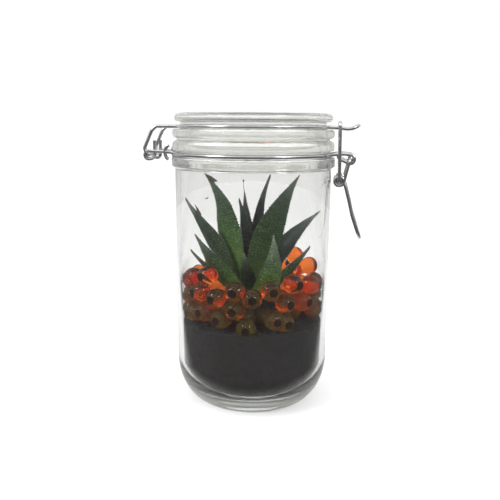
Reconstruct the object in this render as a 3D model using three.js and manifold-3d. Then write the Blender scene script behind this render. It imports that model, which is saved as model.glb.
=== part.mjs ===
// A closed-jar terrarium: a clip-top glass jar with dark soil, a ring of water-gel beads and a
// zebra haworthia. Millimetres, +Z up. The origin is on the jar's axis, on the surface that it
// stands on. The lid hinge is at -X and the clasp at +X.
import * as THREE from "three";
import { mergeVertices } from "three/addons/utils/BufferGeometryUtils.js";
import Module from "manifold-3d";

const wasm = await Module();
wasm.setup();

// Driving dimensions.
const facets = 32;
const gap = 0.3;
const wireRadius = 1.1;
const wireSides = 6;

const jar = {
  radius: 50, wall: 3.4, footInner: 24.5, footOuter: 30, pushUp: 1.6, cornerHeight: 30,
  shoulder: 154.4, neckRadius: 52.1, neckLow: 155.8, neckHigh: 161.3,
  grooveRadius: 48.6, grooveHigh: 165.2, rimRadius: 51.5, rimTop: 171.7, rimRound: 2.5,
  mouth: 44, mouthLow: 158, insideShoulder: 150, floor: 8, insideCorner: 18,
};

const lid = {
  seat: 173.1, flangeRadius: 51.3, flangeTop: 178.5, grooveRadius: 46.2, grooveTop: 183.1,
  topRadius: 50, top: 188.3, dishRadius: 42.5, dishDepth: 1.3,
  plugRadius: 42.5, plugLow: 169.3, recessRadius: 40, recessTop: 181.5,
};

const gasket = { inner: 43.2, outer: 49 };

const neckWireHeight = 163.2;
const lidWireHeight = 180;
const neckWireRing = jar.grooveRadius + gap + wireRadius;
const lidWireRing = lid.grooveRadius + gap + wireRadius;

// The lid turns about a crossbar that lies in two hooks of the neck wire.
const hinge = {
  x: -66.85, z: 161.8, armSpread: 12, hookSpread: 9, hookRadius: 2.55,
  prongSpread: 6.5, prongX: -63.4, prongTop: 171,
};

// The clasp seen from the front: the lever turns about the pivot in the neck wire's ears, and
// the link turns about the eye of the lever and lies over the hook of the lid wire.
const clasp = {
  pivotX: 61.2, pivotZ: 160.9, eyeX: 55.2, eyeZ: 147.5, linkTopX: 54.6, linkTopZ: 182.9,
  hookSpread: 5.5, earSpread: 8.4, leverSpread: 11, linkSpread: 13.6,
  earRadius: 2.75, eyeRadius: 2.7, stubEnd: 6.4,
};

// Side views of the hook's and the handle's arms, as x and z. Each arm ends where the round end
// of the loop starts, and the tip is the middle of that round end.
const hookShape = [[47, 180], [51.5, 179.9], [55, 179.6], [59.5, 179.1], [62, 179.4]];
const hookTip = [66, 181.2];
const handleShape = [[57.9, 147], [59.2, 144.2], [62.2, 133.2], [63.7, 126.8], [66, 120.2]];
const handleTip = [69.4, 111];

const soil = { wallTop: 57, centreTop: 68, holeRadius: 6.3, holeFloor: 53, wave: 0.5 };

const bead = {
  radius: 5.9, sides: 8, stacks: 4, perRow: 22, rows: [63.6, 73.4, 83.2], rowWave: 0.8,
  innerRing: 29.6, innerCount: 16, innerHeight: 64.8,
};

// Each tier of leaves grows from its own step of the stem.
const stem = { foot: 53.4, radius: 6, top: 82, sides: 12 };
const tiers = [
  { height: 70.4, radius: 6.5 },
  { height: 73.2, radius: 5.2 },
  { height: 76.6, radius: 3.9 },
  { height: 79.6, radius: 2.6 },
];

// One row for each leaf: tier, azimuth in degrees from +X, reach and height of its tip, a width,
// how fast it tapers, the bow of its curve below the chord, the twist of its upper half in
// degrees, and how far its upper part bends outwards.
const leaves = [
  { tier: 0, azimuth: 359.7, reach: 37.6, height: 105.6, width: 7.2, taper: 1.6,
    bow: 0.038, twist: -37, kink: 0 },
  { tier: 1, azimuth: 267, reach: 28, height: 105, width: 5.6, taper: 1.6,
    bow: 0.004, twist: 0, kink: 0 },
  { tier: 0, azimuth: 228.2, reach: 44.9, height: 116.3, width: 8.6, taper: 1.6,
    bow: 0.037, twist: 35, kink: 0 },
  { tier: 0, azimuth: 145, reach: 37.9, height: 96.2, width: 3.7, taper: 1.6,
    bow: 0.085, twist: 0, kink: 0 },
  { tier: 0, azimuth: 51.5, reach: 35.7, height: 105.1, width: 6.2, taper: 1.6,
    bow: 0.057, twist: -2, kink: 0 },
  { tier: 0, azimuth: 303.1, reach: 29.5, height: 116, width: 9.8, taper: 1.4,
    bow: 0.2, twist: 0, kink: 0 },
  { tier: 0, azimuth: 108.3, reach: 40.4, height: 102.9, width: 5.9, taper: 1.6,
    bow: 0.09, twist: 8, kink: 0 },
  { tier: 0, azimuth: 179.2, reach: 42.6, height: 100.6, width: 5, taper: 1.6,
    bow: 0.039, twist: 42, kink: 0 },
  { tier: 1, azimuth: 84.8, reach: 25.3, height: 122.4, width: 7, taper: 1.6,
    bow: 0.042, twist: 1, kink: 0 },
  { tier: 1, azimuth: 10.6, reach: 45.4, height: 128.1, width: 10, taper: 1.6,
    bow: -0.08, twist: 47, kink: 0 },
  { tier: 2, azimuth: 323.8, reach: 38.4, height: 152.6, width: 12.3, taper: 1.5,
    bow: -0.069, twist: -32, kink: 0 },
  { tier: 1, azimuth: 180.6, reach: 46.1, height: 136.2, width: 15.5, taper: 1.6,
    bow: -0.001, twist: 45, kink: 0 },
  { tier: 2, azimuth: 115.7, reach: 19.2, height: 139.6, width: 7.6, taper: 1.6,
    bow: 0.005, twist: 1, kink: 0 },
  { tier: 2, azimuth: 193.3, reach: 21.6, height: 153.5, width: 10.8, taper: 1.3,
    bow: 0.042, twist: 51, kink: 10 },
  { tier: 3, azimuth: 47.2, reach: 12.5, height: 152.5, width: 8.1, taper: 1.6,
    bow: -0.042, twist: 0, kink: 2.5 },
  { tier: 3, azimuth: 237.8, reach: 13.4, height: 137.4, width: 8.2, taper: 1.6,
    bow: -0.035, twist: 1, kink: 0 },
];
const leafThickness = 3;
const leafStep = 3.4;
const leafTipHalf = 0.3;
const kinkStart = 0.7;
const kinkEase = 1.6;

// Shared shapes.
function radians(degrees) {
  return degrees * Math.PI / 180;
}

function closedMesh(geometry) {
  const loose = geometry.index ? geometry.toNonIndexed() : geometry.clone();
  const bare = new THREE.BufferGeometry();
  bare.setAttribute("position", loose.attributes.position);
  const merged = mergeVertices(bare, 1e-4);
  const corners = Array.from(merged.index.array);
  const kept = [];
  for (let i = 0; i < corners.length; i += 3) {
    const [a, b, c] = corners.slice(i, i + 3);
    if (a !== b && b !== c && c !== a) kept.push(a, b, c);
  }
  const at = (i) => new THREE.Vector3().fromBufferAttribute(merged.attributes.position, i);
  let volume = 0;
  for (let i = 0; i < kept.length; i += 3) {
    volume += at(kept[i]).dot(at(kept[i + 1]).cross(at(kept[i + 2])));
  }
  merged.setIndex(volume < 0 ? kept.reverse() : kept);
  return merged;
}

function solid(geometry) {
  const mesh = closedMesh(geometry);
  return new wasm.Manifold(new wasm.Mesh({
    numProp: 3,
    vertProperties: new Float32Array(mesh.attributes.position.array),
    triVerts: new Uint32Array(mesh.index.array),
  }));
}

function joined(geometries) {
  const whole = geometries.map(solid).reduce((one, next) => one.add(next)).getMesh();
  const geometry = new THREE.BufferGeometry();
  geometry.setAttribute("position", new THREE.BufferAttribute(whole.vertProperties, 3));
  geometry.setIndex(new THREE.BufferAttribute(whole.triVerts, 1));
  return geometry;
}

function turned(profile, sides = facets) {
  const points = profile.map(([r, z]) => new THREE.Vector2(r, z));
  return closedMesh(new THREE.LatheGeometry(points, sides).rotateX(Math.PI / 2));
}

// A quarter of an ellipse from its lowest point to its outermost point.
function quarter(centreR, centreZ, acrossR, acrossZ, steps) {
  const points = [];
  for (let i = 0; i <= steps; i += 1) {
    const angle = (i / steps) * Math.PI / 2;
    points.push([centreR + acrossR * Math.sin(angle), centreZ - acrossZ * Math.cos(angle)]);
  }
  return points;
}

// A wire is drawn through its bend points, with one step from each to the next.
class WireLine extends THREE.Curve {
  constructor(points, loop = false) {
    super();
    this.points = points;
    this.loop = loop;
    this.steps = loop ? points.length : points.length - 1;
  }

  getPointAt(u) {
    return this.points[Math.round(u * this.steps) % this.points.length].clone();
  }

  getTangentAt(u) {
    const i = Math.round(u * this.steps);
    const n = this.points.length;
    const before = this.loop ? this.points[(i - 1 + n) % n] : this.points[Math.max(i - 1, 0)];
    const after = this.loop ? this.points[(i + 1) % n] : this.points[Math.min(i + 1, n - 1)];
    return after.clone().sub(before).normalize();
  }
}

function wireSection() {
  const section = new THREE.Shape();
  for (let i = 0; i < wireSides; i += 1) {
    const angle = (i / wireSides) * 2 * Math.PI;
    const across = wireRadius * Math.cos(angle);
    const up = wireRadius * Math.sin(angle);
    if (i === 0) section.moveTo(across, up);
    else section.lineTo(across, up);
  }
  section.closePath();
  return section;
}

function wire(points) {
  const line = new WireLine(points);
  return new THREE.ExtrudeGeometry(wireSection(), { steps: line.steps, extrudePath: line });
}

// Rounds the corners of a route of points to arcs of the given radius.
function rounded(corners, radius, loop = false) {
  const points = [];
  const n = corners.length;
  for (let i = 0; i < n; i += 1) {
    const here = corners[i];
    if (!loop && (i === 0 || i === n - 1)) {
      points.push(here);
      continue;
    }
    const back = corners[(i - 1 + n) % n].clone().sub(here);
    const on = corners[(i + 1) % n].clone().sub(here);
    const half = back.angleTo(on) / 2;
    const reach = Math.min(radius / Math.tan(half), back.length() * 0.49, on.length() * 0.49);
    const turn = Math.PI - 2 * half;
    const steps = Math.max(1, Math.ceil(turn / radians(32)));
    const start = here.clone().addScaledVector(back.normalize(), reach);
    const end = here.clone().addScaledVector(on.normalize(), reach);
    const curve = new THREE.QuadraticBezierCurve3(start, here, end);
    points.push(...curve.getPoints(steps));
  }
  return points;
}

function at(x, y, z) {
  return new THREE.Vector3(x, y, z);
}

function wireRing(ringRadius, height) {
  const profile = [];
  for (let i = 0; i <= wireSides; i += 1) {
    const angle = (i / wireSides) * 2 * Math.PI;
    profile.push([ringRadius + wireRadius * Math.cos(angle), height + wireRadius * Math.sin(angle)]);
  }
  return turned(profile);
}

// Glass.
function jarGlass() {
  const inside = jar.radius - jar.wall;
  const outer = quarter(jar.footOuter, jar.cornerHeight,
    jar.radius - jar.footOuter, jar.cornerHeight, 7);
  const inner = quarter(inside - jar.insideCorner, jar.cornerHeight,
    jar.insideCorner, jar.cornerHeight - jar.floor, 6).reverse();
  return turned([
    [0, jar.pushUp],
    [jar.footInner - 2, jar.pushUp],
    [jar.footInner, 0],
    ...outer,
    [jar.radius, jar.shoulder],
    [jar.neckRadius, jar.neckLow],
    [jar.neckRadius, jar.neckHigh],
    [jar.grooveRadius, jar.neckHigh + 0.3],
    [jar.grooveRadius, jar.grooveHigh],
    [jar.rimRadius, jar.grooveHigh + 0.4],
    [jar.rimRadius, jar.rimTop - jar.rimRound],
    [jar.rimRadius - 0.7, jar.rimTop - 0.8],
    [jar.rimRadius - jar.rimRound, jar.rimTop],
    [jar.mouth + 1.4, jar.rimTop],
    [jar.mouth, jar.rimTop - 1.4],
    [jar.mouth, jar.mouthLow],
    [jar.mouth + 1, jar.mouthLow - 3],
    [inside, jar.insideShoulder],
    ...inner,
    [0, jar.floor],
  ]);
}

function lidGlass() {
  return turned([
    [0, lid.recessTop],
    [lid.recessRadius - 2, lid.recessTop],
    [lid.recessRadius, lid.recessTop - 2],
    [lid.recessRadius, lid.plugLow + 0.6],
    [lid.recessRadius + 0.8, lid.plugLow],
    [lid.plugRadius - 0.8, lid.plugLow],
    [lid.plugRadius, lid.plugLow + 0.8],
    [lid.plugRadius, lid.seat],
    [lid.flangeRadius - 1, lid.seat],
    [lid.flangeRadius, lid.seat + 1],
    [lid.flangeRadius, lid.flangeTop - 1],
    [lid.flangeRadius - 1, lid.flangeTop - 0.1],
    [lid.grooveRadius, lid.flangeTop + 0.1],
    [lid.grooveRadius, lid.grooveTop],
    [lid.topRadius - 1.1, lid.grooveTop + 0.2],
    [lid.topRadius, lid.grooveTop + 1.5],
    [lid.topRadius, lid.top - 1.9],
    [lid.topRadius - 1.4, lid.top - 0.2],
    [lid.topRadius - 3.5, lid.top],
    [lid.dishRadius + 2, lid.top - 0.2],
    [lid.dishRadius, lid.top - lid.dishDepth],
    [0, lid.top - lid.dishDepth],
  ]);
}

function gasketRing() {
  const low = jar.rimTop + gap;
  return turned([
    [gasket.inner, low],
    [gasket.outer, low],
    [gasket.outer, lid.seat],
    [gasket.inner, lid.seat],
    [gasket.inner, low],
  ]);
}

// Wires.
function neckWire() {
  const parts = [wireRing(neckWireRing, neckWireHeight)];
  for (const side of [-1, 1]) {
    parts.push(ear(side), hingeHook(side), tensionBend(side));
  }
  return joined(parts);
}

function ear(side) {
  const y = side * clasp.earSpread;
  const start = Math.sqrt(neckWireRing ** 2 - y ** 2);
  const bend = [];
  for (let turn = 90; turn >= -90; turn -= 30) {
    const angle = radians(turn);
    bend.push(at(clasp.pivotX + clasp.earRadius * Math.cos(angle), y,
      clasp.pivotZ + clasp.earRadius * Math.sin(angle)));
  }
  return wire([
    at(start, y, neckWireHeight),
    at(53, y, neckWireHeight + 0.6),
    at(57.5, y, neckWireHeight + 0.8),
    ...bend,
    at(56.6, y, 160.2),
    at(53.6, y, 162.4),
  ]);
}

function hingeHook(side) {
  const y = side * hinge.hookSpread;
  const prongY = side * hinge.prongSpread;
  const start = -Math.sqrt(neckWireRing ** 2 - y ** 2);
  const bend = [];
  for (let turn = 90; turn <= 270; turn += 30) {
    const angle = radians(turn);
    bend.push(at(hinge.x + hinge.hookRadius * Math.cos(angle), y,
      hinge.z + hinge.hookRadius * Math.sin(angle)));
  }
  return wire([
    at(start, y, neckWireHeight),
    at(-55, y, neckWireHeight + 0.9),
    ...bend,
    at(hinge.x + 2, y - side * 0.9, hinge.z - 2.3),
    at(hinge.prongX - 0.2, prongY, hinge.z - 0.6),
    at(hinge.prongX, prongY, hinge.z + 1.2),
    at(hinge.prongX, prongY, hinge.prongTop),
  ]);
}

// The upright bend by the neck with which each end of the neck wire is drawn tight.
function tensionBend(side) {
  const y = side * hinge.hookSpread;
  return wire([
    at(-53.4, y, 168.2),
    at(-55.1, y, 167),
    at(-55.9, y, 164.6),
    at(-55.7, y, 162),
    at(-54.8, y, 160),
    at(-53.6, y, 159.4),
  ]);
}

function lidWire() {
  return joined([wireRing(lidWireRing, lidWireHeight), hingeArms(), claspHook()]);
}

function hingeArms() {
  const arm = (y) => [
    at(-45.6, y, lidWireHeight),
    at(-60.6, y, lidWireHeight),
    at(-63.4, y, lidWireHeight - 2.6),
    at(-68.5, y, hinge.z + 4.4),
    at(hinge.x, y, hinge.z),
  ];
  const route = [...arm(-hinge.armSpread), ...arm(hinge.armSpread).reverse()];
  return wire(rounded(route, 2.4));
}

function claspHook() {
  const arm = (side) => hookShape.map(([x, z]) => at(x, side * clasp.hookSpread, z));
  return wire([...arm(-1), ...roundEnd(hookShape, hookTip, clasp.hookSpread), ...arm(1).reverse()]);
}

// The points of a loop's round end, from the arm at -Y to the arm at +Y, without the arms' ends.
function roundEnd(shape, tip, spread) {
  const [startX, startZ] = shape[shape.length - 1];
  const points = [];
  for (let turn = -60; turn <= 60; turn += 30) {
    const reach = Math.cos(radians(turn));
    points.push(at(startX + (tip[0] - startX) * reach, spread * Math.sin(radians(turn)),
      startZ + (tip[1] - startZ) * reach));
  }
  return points;
}

function claspLever() {
  const arm = (side) => rounded([
    at(clasp.pivotX, side * clasp.stubEnd, clasp.pivotZ),
    at(clasp.pivotX, side * clasp.leverSpread, clasp.pivotZ),
    ...handleShape.map(([x, z]) => at(x, side * clasp.leverSpread, z)),
  ], 2.2);
  const eye = (side) => {
    const points = [];
    for (let turn = 0; turn < 360; turn += 30) {
      const angle = radians(turn);
      points.push(at(clasp.eyeX + clasp.eyeRadius * Math.cos(angle), side * clasp.leverSpread,
        clasp.eyeZ + clasp.eyeRadius * Math.sin(angle)));
    }
    return wireLoop(points);
  };
  const end = roundEnd(handleShape, handleTip, clasp.leverSpread);
  return joined([wire([...arm(-1), ...end, ...arm(1).reverse()]), eye(-1), eye(1)]);
}

function wireLoop(points) {
  const line = new WireLine(points, true);
  return new THREE.TubeGeometry(line, line.steps, wireRadius, wireSides, true);
}

function claspLink() {
  const y = clasp.linkSpread;
  const corners = [
    at(clasp.eyeX, -y, clasp.eyeZ),
    at(clasp.eyeX, y, clasp.eyeZ),
    at(clasp.linkTopX, y, clasp.linkTopZ),
    at(clasp.linkTopX, -y, clasp.linkTopZ),
  ];
  return closedMesh(wireLoop(rounded(corners, 1.6, true)));
}

// Contents.
function soilBed() {
  const wall = jar.radius - jar.wall - gap;
  const corner = quarter(wall - jar.insideCorner, jar.cornerHeight,
    jar.insideCorner, jar.cornerHeight - jar.floor - gap, 6);
  const bed = turned([
    [0, jar.floor + gap],
    ...corner,
    [wall, soil.wallTop],
    [34, soil.wallTop + 0.3],
    [27, soil.wallTop + 1],
    [20, soil.centreTop - 3.6],
    [12, soil.centreTop - 0.6],
    [soil.holeRadius, soil.centreTop],
    [soil.holeRadius, soil.holeFloor],
    [0, soil.holeFloor],
  ]);
  const places = bed.attributes.position;
  for (let i = 0; i < places.count; i += 1) {
    const height = places.getZ(i);
    if (height < soil.wallTop - 0.1) continue;
    const azimuth = Math.atan2(places.getY(i), places.getX(i));
    const ripple = Math.sin(5 * azimuth) + Math.sin(9 * azimuth + 1);
    places.setZ(i, height - soil.wave * (1 + ripple / 2));
  }
  return bed;
}

function beadAt(ring, azimuth, height) {
  const ball = new THREE.SphereGeometry(bead.radius, bead.sides, bead.stacks).rotateX(Math.PI / 2);
  return ball.translate(ring, 0, height).rotateZ(azimuth);
}

function beadBed() {
  const ring = (jar.radius - jar.wall) * Math.cos(Math.PI / facets) - gap - bead.radius;
  const step = 2 * Math.PI / bead.perRow;
  const beads = [];
  bead.rows.forEach((height, row) => {
    for (let i = 0; i < bead.perRow; i += 1) {
      const azimuth = (i + row / 2) * step;
      const wave = row === 0 ? 0 : bead.rowWave * Math.sin(2 * azimuth + 1) * row / 2;
      beads.push(beadAt(ring, azimuth, height + wave));
    }
  });
  for (let i = 0; i < bead.innerCount; i += 1) {
    beads.push(beadAt(bead.innerRing, (i / bead.innerCount) * 2 * Math.PI, bead.innerHeight));
  }
  return joined(beads);
}

function haworthiaStem() {
  const profile = [[0, stem.foot], [stem.radius, stem.foot]];
  tiers.forEach((tier, i) => {
    const below = i === 0 ? stem.radius : tier.radius;
    profile.push([Math.min(below, stem.radius), tier.height - 2.2]);
    profile.push([Math.min(tier.radius, stem.radius), tier.height + 1]);
  });
  profile.push([tiers[3].radius - 1, stem.top], [0, stem.top]);
  return turned(profile, stem.sides);
}

// A leaf is a row of sections from root to tip. Its margins are toothed, and its back carries
// raised cross bands.
function leafBlade(leaf) {
  const tier = tiers[leaf.tier];
  const azimuth = radians(leaf.azimuth);
  const out = at(Math.cos(azimuth), Math.sin(azimuth), 0);
  const up = at(0, 0, 1);
  const side = up.clone().cross(out);
  const place = (reach, height) => out.clone().multiplyScalar(reach).addScaledVector(up, height);
  const root = place(Math.min(tier.radius, stem.radius) + gap + 0.2, tier.height);
  const tip = place(leaf.reach, leaf.height);
  const chord = tip.clone().sub(root);
  const under = side.clone().cross(chord).normalize().multiplyScalar(-1);
  const middle = root.clone().lerp(tip, 0.5).addScaledVector(under, -leaf.bow * chord.length() * 2);
  const course = new THREE.QuadraticBezierCurve3(root, middle, tip);
  const stations = Math.round(course.getLength() / leafStep);
  const rings = [];
  for (let i = 0; i < stations; i += 1) {
    const t = i / stations;
    const spine = course.getPointAt(t);
    const along = course.getTangentAt(t);
    const bent = Math.max(0, t - kinkStart) / (1 - kinkStart);
    spine.addScaledVector(out, leaf.kink * bent ** kinkEase);
    const face = along.clone().cross(side).normalize();
    const twist = radians(leaf.twist) * Math.min(1, 2 * t);
    const across = side.clone().multiplyScalar(Math.cos(twist)).addScaledVector(face, Math.sin(twist));
    const lift = across.clone().cross(along).negate().normalize();
    const band = i % 2;
    const full = leaf.width * (0.35 + 3.2 * t) * (1 - t) ** leaf.taper;
    const half = full * (1 + 0.09 * band) + leafTipHalf;
    const thick = Math.max(0.7, leafThickness * (1 - 0.62 * t)) + 0.3 * band * (1 - t);
    const fold = 0.16 * half;
    const section = [
      [-half, fold], [0, -fold * 0.4], [half, fold],
      [0.55 * half, -0.68 * thick], [0, -thick], [-0.55 * half, -0.68 * thick],
    ];
    rings.push(section.map(([width, height]) =>
      spine.clone().addScaledVector(across, width).addScaledVector(lift, height)));
  }
  const end = tip.clone().addScaledVector(out, leaf.kink);
  return skin(rings, end);
}

// Closes rings of points into a solid: a flat fan at the first ring and a point at the end.
function skin(rings, end) {
  const n = rings[0].length;
  const points = [...rings.flat(), end];
  const index = [];
  for (let i = 1; i < n - 1; i += 1) index.push(0, i, i + 1);
  for (let r = 0; r < rings.length - 1; r += 1) {
    for (let i = 0; i < n; i += 1) {
      const a = r * n + i;
      const b = r * n + (i + 1) % n;
      index.push(a, a + n, b, b, a + n, b + n);
    }
  }
  const last = (rings.length - 1) * n;
  for (let i = 0; i < n; i += 1) index.push(last + i, points.length - 1, last + (i + 1) % n);
  const geometry = new THREE.BufferGeometry().setFromPoints(points);
  geometry.setIndex(index);
  return closedMesh(geometry);
}

// Materials and the finished group.
function material(color, roughness, metalness) {
  return new THREE.MeshStandardMaterial({ color, roughness, metalness });
}

const glassLook = material(0xdfe9e4, 0.05, 0);
const wireLook = material(0x8d9191, 0.3, 1);
const rubberLook = material(0xe6e8e2, 0.5, 0);
const soilLook = material(0x1d1b1a, 0.95, 0);
const beadLook = material(0xb84a12, 0.15, 0);
const leafLook = material(0x2f4a2c, 0.5, 0);
const stemLook = material(0x8c9a5a, 0.6, 0);

const terrarium = new THREE.Group();

function add(name, geometry, look) {
  const mesh = new THREE.Mesh(geometry, look);
  mesh.name = name;
  terrarium.add(mesh);
}

add("jar_glass", jarGlass(), glassLook);
add("neck_wire", neckWire(), wireLook);
add("lid_glass", lidGlass(), glassLook);
add("lid_gasket", gasketRing(), rubberLook);
add("lid_wire", lidWire(), wireLook);
add("clasp_lever", claspLever(), wireLook);
add("clasp_link", claspLink(), wireLook);
add("soil", soilBed(), soilLook);
add("bead_bed", beadBed(), beadLook);
add("haworthia_stem", haworthiaStem(), stemLook);
leaves.forEach((leaf, i) => {
  add(`haworthia_leaf_${String(i + 1).padStart(2, "0")}`, leafBlade(leaf), leafLook);
});

export default terrarium;
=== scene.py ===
"""A clip-top glass jar planted with a zebra haworthia in dark soil, ringed by orange water-gel beads."""
import random
from math import atan2, ceil, cos, hypot, pi, radians, sin, sqrt, tan

import bmesh
import bpy
from mathutils import Matrix, Vector, noise


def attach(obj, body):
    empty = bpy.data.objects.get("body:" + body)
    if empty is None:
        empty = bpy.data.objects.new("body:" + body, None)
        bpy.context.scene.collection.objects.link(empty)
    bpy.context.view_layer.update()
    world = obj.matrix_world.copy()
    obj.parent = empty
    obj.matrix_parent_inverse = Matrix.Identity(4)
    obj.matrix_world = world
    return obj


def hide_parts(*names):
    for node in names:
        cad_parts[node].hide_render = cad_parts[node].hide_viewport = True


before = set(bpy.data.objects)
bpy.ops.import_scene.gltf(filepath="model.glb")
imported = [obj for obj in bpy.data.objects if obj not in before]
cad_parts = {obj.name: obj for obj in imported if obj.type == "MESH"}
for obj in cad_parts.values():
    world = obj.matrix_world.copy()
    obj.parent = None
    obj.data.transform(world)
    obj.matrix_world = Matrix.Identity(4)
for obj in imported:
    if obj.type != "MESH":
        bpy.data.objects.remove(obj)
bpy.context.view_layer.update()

bpy.ops.object.select_all(action="DESELECT")


# Studio: a pale floor under a white sky, as between the walls of a light tent. In reflections both
# are dim at the tent's open front and bright at its other sides, overhead and close to the jar.
camera_azimuth = radians(8)
camera_distance = 0.390
camera_height = 0.180
camera_pan = radians(0.25)
camera_pitch = radians(90 - 11.6)
camera_roll = radians(0.4)
camera_turn = (
    Matrix.Rotation(camera_azimuth + camera_pan, 4, "Z")
    @ Matrix.Rotation(camera_pitch, 4, "X")
    @ Matrix.Rotation(camera_roll, 4, "Z")
)
bpy.ops.object.camera_add(
    location=(camera_distance * sin(camera_azimuth), -camera_distance * cos(camera_azimuth),
              camera_height),
    rotation=camera_turn.to_euler(),
)
camera = bpy.context.object
camera.data.lens = 43.2
camera.data.sensor_width = 36
camera.data.clip_start = 0.01
bpy.context.scene.camera = camera
bpy.context.scene.view_settings.view_transform = "Standard"

jar_middle = Vector((0, 0, 0.09))
for lamp_name, place, size, power in [
    ("softbox_left", (-0.75, -0.55, 0.85), 0.45, 7.0),
    ("softbox_right", (0.80, -0.60, 0.70), 0.35, 4.5),
]:
    bpy.ops.object.light_add(type="AREA", location=place)
    lamp = bpy.context.object
    lamp.name = lamp_name
    lamp.data.size = size
    lamp.data.energy = power
    lamp.rotation_euler = (jar_middle - Vector(place)).to_track_quat("-Z", "Y").to_euler()

studio = bpy.data.worlds.new("studio_sky")
bpy.context.scene.world = studio
studio.use_nodes = True
sky = studio.node_tree
sky.nodes.clear()


def wire_up(tree, *pairs):
    """Links pairs of sockets."""
    for source, target in pairs:
        tree.links.new(source, target)


def ramp(tree, factor, *stops):
    """A colour ramp node over factor with stops of (position, colour)."""
    node = tree.nodes.new("ShaderNodeValToRGB")
    band = node.color_ramp
    while len(band.elements) < len(stops):
        band.elements.new(0.5)
    for element, (position, colour) in zip(band.elements, stops):
        element.position = position
        element.color = (*colour, 1) if len(colour) == 3 else colour
    tree.links.new(factor, node.inputs["Fac"])
    return node.outputs["Color"]


def grey(value):
    """An even grey as a colour."""
    return (value, value, value)


def maths(tree, operation, *values):
    """One Math node. A value is a number or another node's output."""
    node = tree.nodes.new("ShaderNodeMath")
    node.operation = operation
    for socket, value in zip(node.inputs, values):
        if isinstance(value, bpy.types.NodeSocket):
            tree.links.new(value, socket)
        else:
            socket.default_value = value
    return node.outputs[0]


def blend(tree, share, first, second, kind="MIX"):
    """A colour between two, each a colour or another node's output."""
    node = tree.nodes.new("ShaderNodeMix")
    node.data_type = "RGBA"
    node.blend_type = kind
    for name, value in (("Factor", share), ("A", first), ("B", second)):
        socket = node.inputs[name]
        if isinstance(value, bpy.types.NodeSocket):
            tree.links.new(value, socket)
        else:
            socket.default_value = value if name == "Factor" else (*value, 1)
    return node.outputs["Result"]


def mirrored_rays(tree):
    """1 for a ray that was reflected on its way from the camera, and 0 for one that wasn't."""
    return maths(tree, "MINIMUM", tree.nodes.new("ShaderNodeLightPath").outputs["Glossy Depth"], 1)


def towards_front(tree, vector):
    """How far a direction or a place lies towards the tent's open front."""
    node = tree.nodes.new("ShaderNodeVectorMath")
    node.operation = "DOT_PRODUCT"
    node.inputs[1].default_value = (sin(camera_azimuth), -cos(camera_azimuth), 0)
    tree.links.new(vector, node.inputs[0])
    return node.outputs["Value"]


sky_direction = sky.nodes.new("ShaderNodeTexCoord").outputs["Generated"]
sky_parts = sky.nodes.new("ShaderNodeSeparateXYZ")
wire_up(sky, (sky_direction, sky_parts.inputs[0]))
sky_height = maths(sky, "MULTIPLY_ADD", sky_parts.outputs["Z"], 0.5, 0.5)
sky_front = ramp(sky, sky_height, (0.5, grey(0.17)), (0.57, grey(0.3)), (0.66, grey(1.0)),
                 (0.85, grey(1.3)))
sky_around = ramp(sky, sky_height, (0.5, grey(0.62)), (0.6, grey(0.8)), (0.75, grey(1.0)),
                  (0.9, grey(1.2)))
front_share = ramp(sky, maths(sky, "MULTIPLY_ADD", towards_front(sky, sky_direction), 0.5, 0.5),
                   (0.1, grey(0)), (0.4, grey(1)))
sky_mirrored = blend(sky, front_share, sky_around, sky_front)
sky_light = sky.nodes.new("ShaderNodeBackground")
sky_out = sky.nodes.new("ShaderNodeOutputWorld")
wire_up(sky, (blend(sky, mirrored_rays(sky), (1, 1, 1), sky_mirrored), sky_light.inputs["Color"]),
        (sky_light.outputs[0], sky_out.inputs["Surface"]))


def blank_material(name):
    """A material with only its output, and the tree to build in."""
    material = bpy.data.materials.new(name)
    material.use_nodes = True
    material.node_tree.nodes.clear()
    output = material.node_tree.nodes.new("ShaderNodeOutputMaterial")
    return material, material.node_tree, output


def principled(tree, output, **values):
    """A Principled shader with its sockets set, wired to the material's output."""
    shader = tree.nodes.new("ShaderNodeBsdfPrincipled")
    for socket, value in values.items():
        shader.inputs[socket.replace("_", " ")].default_value = value
    if output:
        tree.links.new(shader.outputs["BSDF"], output.inputs["Surface"])
    return shader


bpy.ops.mesh.primitive_plane_add(size=24)
floor = bpy.context.object
floor.name = "pale_floor"
floor_paint, tree, output = blank_material("floor_paint")
shader = principled(tree, output, Roughness=0.75, Emission_Color=(1, 1, 1, 1))
floor_place = tree.nodes.new("ShaderNodeTexCoord").outputs["Object"]
floor_reach = tree.nodes.new("ShaderNodeVectorMath")
floor_reach.operation = "LENGTH"
wire_up(tree, (floor_place, floor_reach.inputs[0]))
floor_towards = towards_front(tree, floor_place)
floor_wedge = maths(tree, "DIVIDE", floor_towards, floor_reach.outputs["Value"])
floor_bright, floor_dim = grey(0.7), grey(0.05)
floor_straight_back = ramp(tree, maths(tree, "MULTIPLY_ADD", floor_wedge, 0.5, 0.5),
                           (0.05, floor_bright), (0.16, floor_dim))
floor_far_back = ramp(tree, maths(tree, "ADD", floor_towards, 0.5),
                      (0.12, floor_bright), (0.22, floor_dim))
floor_behind = maths(tree, "MAXIMUM", floor_straight_back, floor_far_back)
floor_near = ramp(tree, maths(tree, "ADD", floor_towards, floor_reach.outputs["Value"]),
                  (0.08, grey(1.0)), (0.12, grey(0.0)))
floor_mirrored = blend(tree, floor_near, floor_behind, floor_bright)
floor_tone = blend(tree, mirrored_rays(tree), grey(0.88), floor_mirrored)
floor_glow = maths(tree, "MULTIPLY_ADD", mirrored_rays(tree), -0.2, 0.2)
wire_up(tree, (floor_tone, shader.inputs["Base Color"]),
        (floor_glow, shader.inputs["Emission Strength"]))
floor.data.materials.append(floor_paint)


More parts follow.
